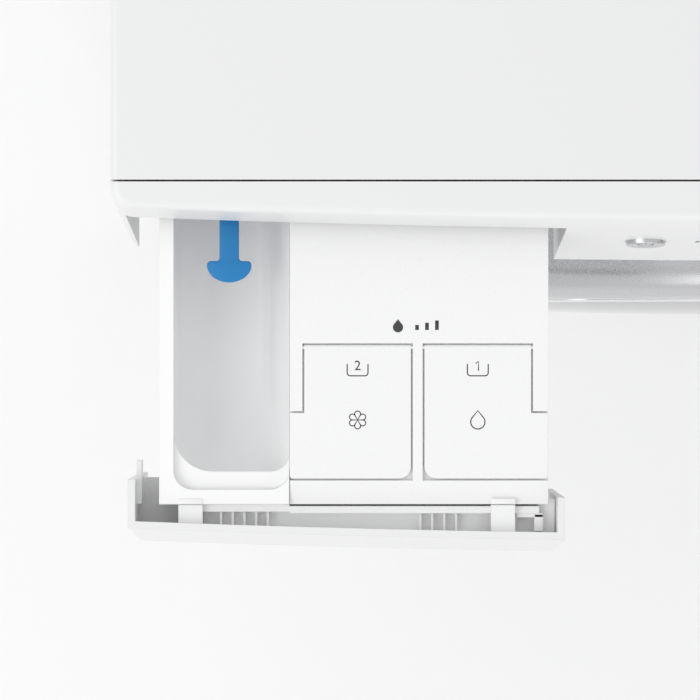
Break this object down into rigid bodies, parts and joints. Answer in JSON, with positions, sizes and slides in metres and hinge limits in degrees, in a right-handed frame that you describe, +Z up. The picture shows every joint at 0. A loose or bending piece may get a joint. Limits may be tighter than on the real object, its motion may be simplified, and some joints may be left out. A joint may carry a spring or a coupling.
{
  "type": "front load washing machine",
  "caption": "Freestanding front load washing machine with a round porthole door, bowed control fascia and a pull-out automatic dosing drawer with lidded tanks.",
  "frame": {"origin": "centre of the footprint box on the floor, with the drawer pulled out", "axes": "+Z up, -Y to the front, +X to the right as seen from the front"},
  "size_m": [0.598, 0.7382, 0.848],
  "materials": {
    "white_plastic": "satin moulded",
    "drawer_plastic": "satin moulded",
    "cover_plastic": "fine satin",
    "blue_plastic": "gloss",
    "white_enamel": "gloss enamel",
    "galvanised": "galvanised",
    "grey_plastic": "matte",
    "dark_plastic": "gloss",
    "smoked_glass": "polished",
    "clear_glass": "polished",
    "silver_plastic": "metallic lacquer",
    "grey_rubber": "matte",
    "black_rubber": "matte",
    "tub_plastic": "glass filled",
    "stainless": "polished",
    "steel": "turned",
    "cast_alloy": "cast",
    "concrete": "rough cast concrete",
    "brass": "machined"
  },
  "bodies": {
    "cabinet": {"base_frame": "white_plastic", "levelling_feet": "black_rubber", "side_panel_left": "white_enamel", "side_panel_right": "white_enamel", "rear_panel": "galvanised", "front_panel": "white_enamel", "plinth_panel": "white_plastic", "top_rails": "galvanised", "worktop": "white_plastic", "control_fascia": "white_plastic", "display_window": "dark_plastic", "control_module": "grey_plastic", "drawer_housing": "drawer_plastic", "dosing_pumps": "grey_plastic", "inlet_valve": "white_plastic", "mains_inlet": "dark_plastic", "tub_inlet_hose": "black_rubber", "sump_hose": "black_rubber", "drain_pump": "grey_plastic", "drain_pipe": "grey_plastic", "door_hinge": "steel", "door_lock": "dark_plastic", "door_gasket": "grey_rubber", "damper_cylinders": "dark_plastic", "suspension_springs": "steel", "panel_screws": "steel", "transit_caps": "grey_plastic"},
    "tub": {"tub_front": "tub_plastic", "tub_rear": "tub_plastic", "front_counterweight": "concrete", "top_counterweight": "concrete", "damper_rods": "steel", "drum_bearings": "steel", "shaft_seal": "black_rubber", "heating_element": "steel", "motor_housing": "cast_alloy", "drive_belt": "black_rubber"},
    "drum": {"drum_shell": "stainless", "drum_lifters": "drawer_plastic", "drum_spider": "cast_alloy", "drum_shaft": "steel", "drum_pulley": "cast_alloy"},
    "rotor": {"motor_rotor": "steel"},
    "door": {"door_ring": "silver_plastic", "door_cover": "smoked_glass", "door_bowl": "clear_glass", "door_inner_ring": "white_plastic"},
    "hook": {"door_hook": "steel"},
    "drawer": {"drawer_tray": "drawer_plastic", "tank_cover": "cover_plastic", "drawer_front": "white_plastic", "drawer_carrier": "drawer_plastic"},
    "softener_flap": {"softener_lid": "cover_plastic"},
    "detergent_flap": {"detergent_lid": "cover_plastic"},
    "tab": {"release_tab": "blue_plastic"},
    "knob": {"programme_knob": "silver_plastic"},
    "start": {"start_button": "silver_plastic"},
    "power": {"power_button": "silver_plastic"},
    "flap": {"service_flap": "white_plastic"},
    "filter": {"filter_cap": "dark_plastic"}
  },
  "joints": [
    {"name": "drawer_slide", "type": "slide", "parent": "cabinet", "child": "drawer", "axis": [0, -1, 0], "range_m": [-0.137, 0]},
    {"name": "softener_lid_hinge", "type": "hinge", "parent": "drawer", "child": "softener_flap", "pos_m": [-0.19185, -0.27374, 0.8108], "axis": [-1, 0, 0], "range_deg": [0, 100]},
    {"name": "detergent_lid_hinge", "type": "hinge", "parent": "drawer", "child": "detergent_flap", "pos_m": [-0.13875, -0.27374, 0.8108], "axis": [-1, 0, 0], "range_deg": [0, 100]},
    {"name": "release_tab_flex", "type": "hinge", "parent": "drawer", "child": "tab", "pos_m": [-0.24755, -0.18204, 0.8072], "axis": [1, 0, 0], "range_deg": [0, 6], "stiffness_Nm_per_rad": 0.3, "springref_deg": -2.86},
    {"name": "door_swing", "type": "hinge", "parent": "cabinet", "child": "door", "pos_m": [-0.247, -0.21694, 0.405], "axis": [0, 0, -1], "range_deg": [0, 150]},
    {"name": "door_hook_pivot", "type": "hinge", "parent": "door", "child": "hook", "pos_m": [0.197, -0.21194, 0.405], "axis": [0, 0, 1], "range_deg": [0, 10], "stiffness_Nm_per_rad": 0.3, "springref_deg": -5.73},
    {"name": "programme_turn", "type": "hinge", "parent": "cabinet", "child": "knob", "pos_m": [0, -0.22615, 0.779], "axis": [0, -0.9946, 0.1039], "continuous": true},
    {"name": "start_press", "type": "slide", "parent": "cabinet", "child": "start", "axis": [0, 0.9946, -0.1039], "range_m": [0, 0.0015], "stiffness_N_per_m": 600, "springref_m": -0.001},
    {"name": "power_press", "type": "slide", "parent": "cabinet", "child": "power", "axis": [0, 0.9946, -0.1039], "range_m": [0, 0.0015], "stiffness_N_per_m": 600, "springref_m": -0.001},
    {"name": "service_flap_hinge", "type": "hinge", "parent": "cabinet", "child": "flap", "pos_m": [0.21, -0.19369, 0.034], "axis": [1, 0, 0], "range_deg": [0, 90]},
    {"name": "filter_cap_turn", "type": "hinge", "parent": "cabinet", "child": "filter", "pos_m": [0.21, -0.17294, 0.068], "axis": [0, -1, 0], "range_deg": [0, 90]},
    {"name": "tub_bounce", "type": "slide", "parent": "cabinet", "child": "tub", "axis": [0, 0, 1], "range_m": [-0.008, 0.008], "stiffness_N_per_m": 7500, "springref_m": 0.02, "deforming": ["door_gasket", "suspension_springs", "tub_inlet_hose", "sump_hose"]},
    {"name": "drum_spin", "type": "hinge", "parent": "tub", "child": "drum", "pos_m": [0, 0.05006, 0.405], "axis": [0, -1, 0], "continuous": true},
    {"name": "motor_spin", "type": "hinge", "parent": "tub", "child": "rotor", "pos_m": [0.19, 0.15606, 0.12], "axis": [0, -1, 0], "continuous": true}
  ],
  "couplings": [
    {"joint": "motor_spin", "follows": "drum_spin", "ratio": 12.727}
  ]
}
